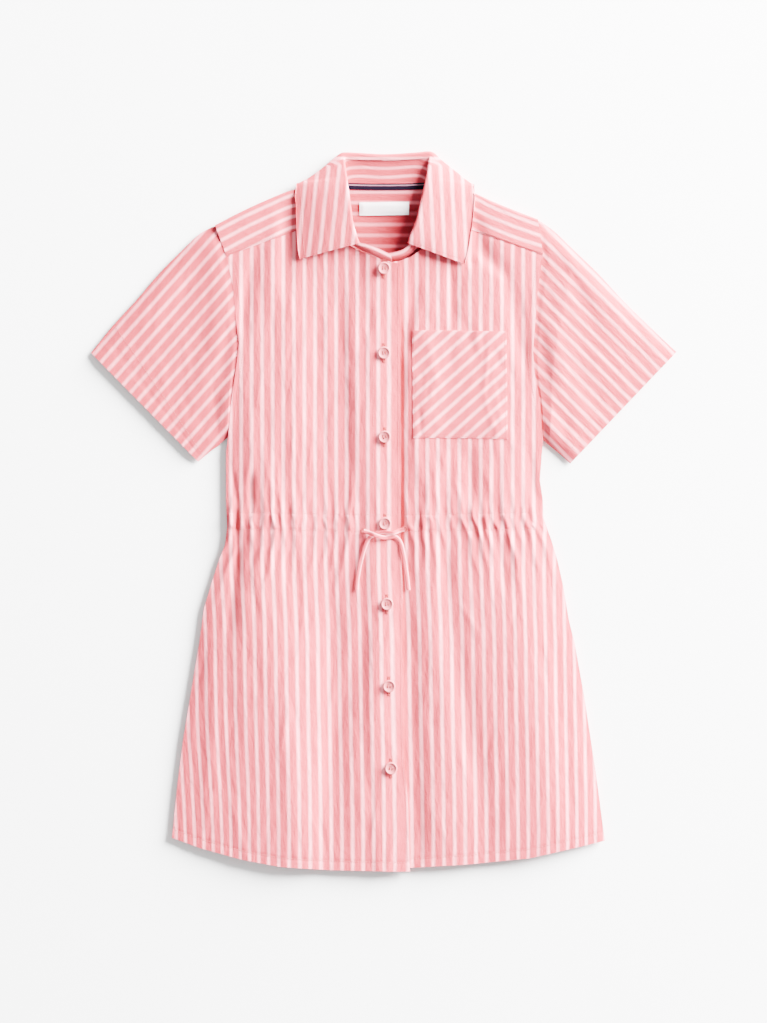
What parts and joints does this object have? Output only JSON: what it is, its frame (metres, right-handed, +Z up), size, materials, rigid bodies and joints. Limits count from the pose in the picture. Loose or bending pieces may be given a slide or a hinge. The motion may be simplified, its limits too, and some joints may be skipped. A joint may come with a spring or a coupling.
{
  "type": "shirt dress",
  "caption": "Short-sleeved striped cotton shirt dress with collar, buttoned front, chest pocket and drawstring waist, laid out flat.",
  "frame": {"origin": "under the middle of the whole laid-out dress, on the surface that it lies on", "axes": "+Y runs from hem to collar, +X to the wearer's left (the pocket side), +Z up from the surface"},
  "size_m": [0.586, 0.7204, 0.0142],
  "materials": {
    "striped_cotton": "matte woven cotton with fine pale stripes",
    "button": "moulded, softly glossy",
    "neck_tape": "dark twill tape with one pale line",
    "neck_label": "plain white woven satin"
  },
  "bodies": {
    "root": {"back": "striped_cotton", "yoke": "striped_cotton", "front_right": "striped_cotton", "front_left": "striped_cotton", "sleeve_right": "striped_cotton", "sleeve_left": "striped_cotton", "collar_stand": "striped_cotton", "collar": "striped_cotton", "pocket": "striped_cotton", "neck_tape": "neck_tape", "neck_label": "neck_label", "button_1": "button", "button_2": "button", "button_3": "button", "button_4": "button", "button_5": "button", "button_6": "button", "button_7": "button", "drawstring_right": "striped_cotton", "drawstring_left": "striped_cotton"}
  },
  "joints": []
}
